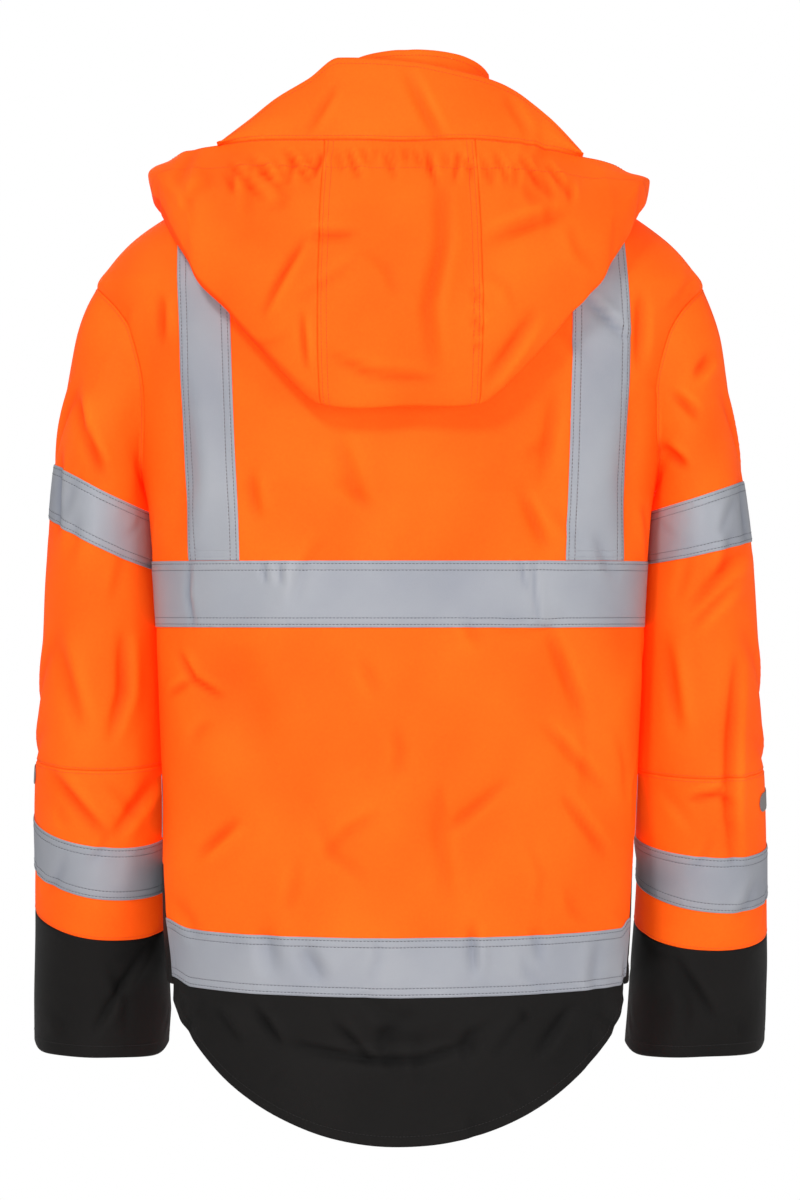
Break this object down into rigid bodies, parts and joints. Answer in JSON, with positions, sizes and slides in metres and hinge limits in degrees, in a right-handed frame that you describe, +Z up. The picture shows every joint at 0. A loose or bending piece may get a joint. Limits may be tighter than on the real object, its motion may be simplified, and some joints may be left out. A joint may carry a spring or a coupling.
{
  "type": "hooded hi-vis work jacket",
  "caption": "Worn-shape hooded rain jacket with drop tail, stand collar, long sleeves and sewn reflective bands, open at neck, hem and cuffs.",
  "frame": {"origin": "middle between the shoulders, by the nape, where the wearer's shoulders carry the jacket", "axes": "+Z up the wearer's back, -Y out of the front, +X towards the wearer's left sleeve"},
  "size_m": [0.712, 0.3102, 1.0202],
  "materials": {
    "orange_cloth": "matt coated oxford weave",
    "black_cloth": "matt coated oxford weave",
    "reflective_tape": "fine glass-bead reflective sheen"
  },
  "bodies": {
    "root": {"back_panel": "orange_cloth", "back_tail": "black_cloth", "brace_left_back": "reflective_tape", "brace_left_front": "reflective_tape", "brace_right_back": "reflective_tape", "brace_right_front": "reflective_tape", "collar": "orange_cloth", "front_left": "orange_cloth", "front_left_hem": "black_cloth", "front_right": "orange_cloth", "front_right_hem": "black_cloth", "hem_band_back": "reflective_tape", "hem_band_left": "reflective_tape", "hem_band_right": "reflective_tape", "hood_centre": "orange_cloth", "hood_left_side": "orange_cloth", "hood_right_side": "orange_cloth", "hood_visor": "orange_cloth", "left_cuff": "black_cloth", "left_lower_band": "reflective_tape", "left_sleeve_lower": "orange_cloth", "left_sleeve_upper": "orange_cloth", "left_upper_band": "reflective_tape", "right_cuff": "black_cloth", "right_lower_band": "reflective_tape", "right_sleeve_lower": "orange_cloth", "right_sleeve_upper": "orange_cloth", "right_upper_band": "reflective_tape", "storm_flap": "orange_cloth", "storm_flap_hem": "black_cloth", "waist_band_back": "reflective_tape", "waist_band_left": "reflective_tape", "waist_band_right": "reflective_tape"}
  },
  "joints": []
}
